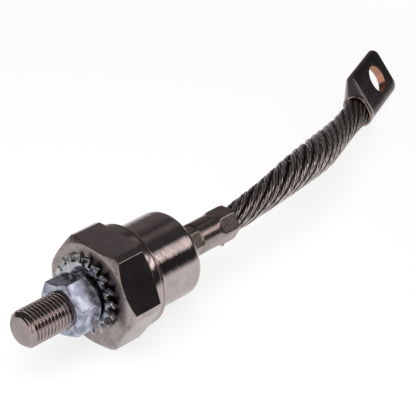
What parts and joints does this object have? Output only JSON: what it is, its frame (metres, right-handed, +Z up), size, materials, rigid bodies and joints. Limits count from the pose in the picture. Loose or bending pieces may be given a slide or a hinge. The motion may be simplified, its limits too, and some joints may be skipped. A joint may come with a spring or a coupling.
{
  "type": "stud rectifier diode",
  "caption": "Stud-mount power rectifier diode: hexagonal base with threaded stud, nut and toothed washer, welded can, crimped tube and a flexible rope lead that ends in a cable lug.",
  "frame": {"origin": "centre of the flat seat under the hexagon, on the stud's axis", "axes": "+X along the stud's axis from the stud towards the lead, +Z up as the part lies on one flat of its hexagon, +Y across"},
  "size_m": [0.1766, 0.0541, 0.027],
  "materials": {
    "nickel_plate": "satin nickel plate over copper or steel",
    "zinc_plate": "bright zinc plate over steel",
    "tinned_copper": "tinned fine copper wire",
    "dark_plate": "dull nickel plate over copper",
    "seal_glass": "fused sealing glass",
    "molybdenum": "lapped",
    "silicon": "polished wafer",
    "silicone_rubber": "soft coating",
    "copper": "bare copper"
  },
  "bodies": {
    "root": {"stud_base": "nickel_plate", "weld_ring": "nickel_plate", "cap": "nickel_plate", "glass_seal": "seal_glass", "terminal_tube": "nickel_plate", "flexible_lead": "tinned_copper", "cable_lug": "dark_plate", "hex_nut": "zinc_plate", "tooth_washer": "zinc_plate", "lower_disc": "molybdenum", "silicon_die": "silicon", "junction_coat": "silicone_rubber", "upper_disc": "molybdenum", "contact_cup": "copper", "inner_lead": "copper"}
  },
  "joints": []
}
